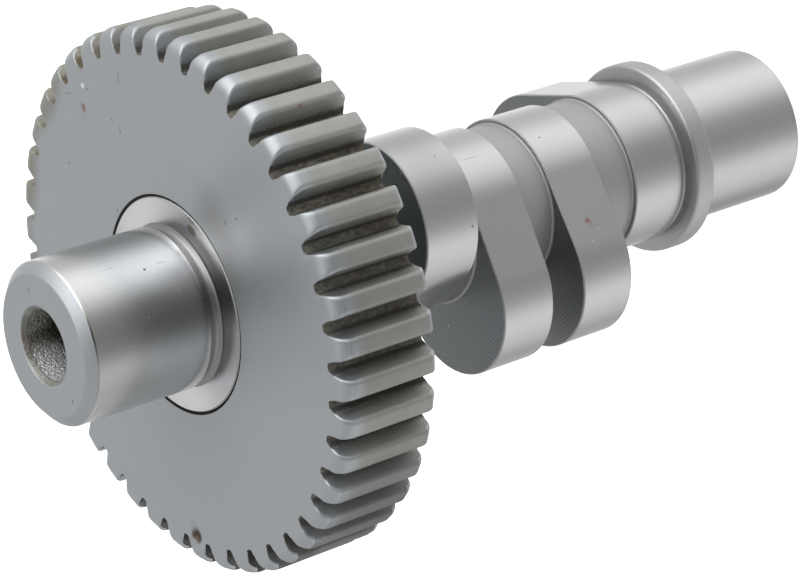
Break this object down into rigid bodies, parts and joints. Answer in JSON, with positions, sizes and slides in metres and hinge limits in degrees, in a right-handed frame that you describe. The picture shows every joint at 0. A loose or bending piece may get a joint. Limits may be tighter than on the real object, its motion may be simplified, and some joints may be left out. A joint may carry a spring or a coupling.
{
  "type": "engine camshaft",
  "caption": "Small-engine camshaft with egg-shaped lobes, a thrust collar, plain end journals and a pressed-on spur timing gear near its nose end.",
  "frame": {"origin": "centre of the rear journal's end face, on which the shaft stands", "axes": "+Z along the shaft from the rear journal to the nose journal; +X is a fixed direction square to it, 33.65 degrees before the middle of a tooth gap"},
  "size_m": [0.0694, 0.0694, 0.1147],
  "materials": {
    "shaft_steel": "ground journals and lobes, satin core",
    "gear_steel": "satin, stained tooth roots",
    "key_steel": "drawn key steel"
  },
  "bodies": {
    "root": {"camshaft": "shaft_steel", "timing_gear": "gear_steel", "gear_key": "key_steel"}
  },
  "joints": []
}
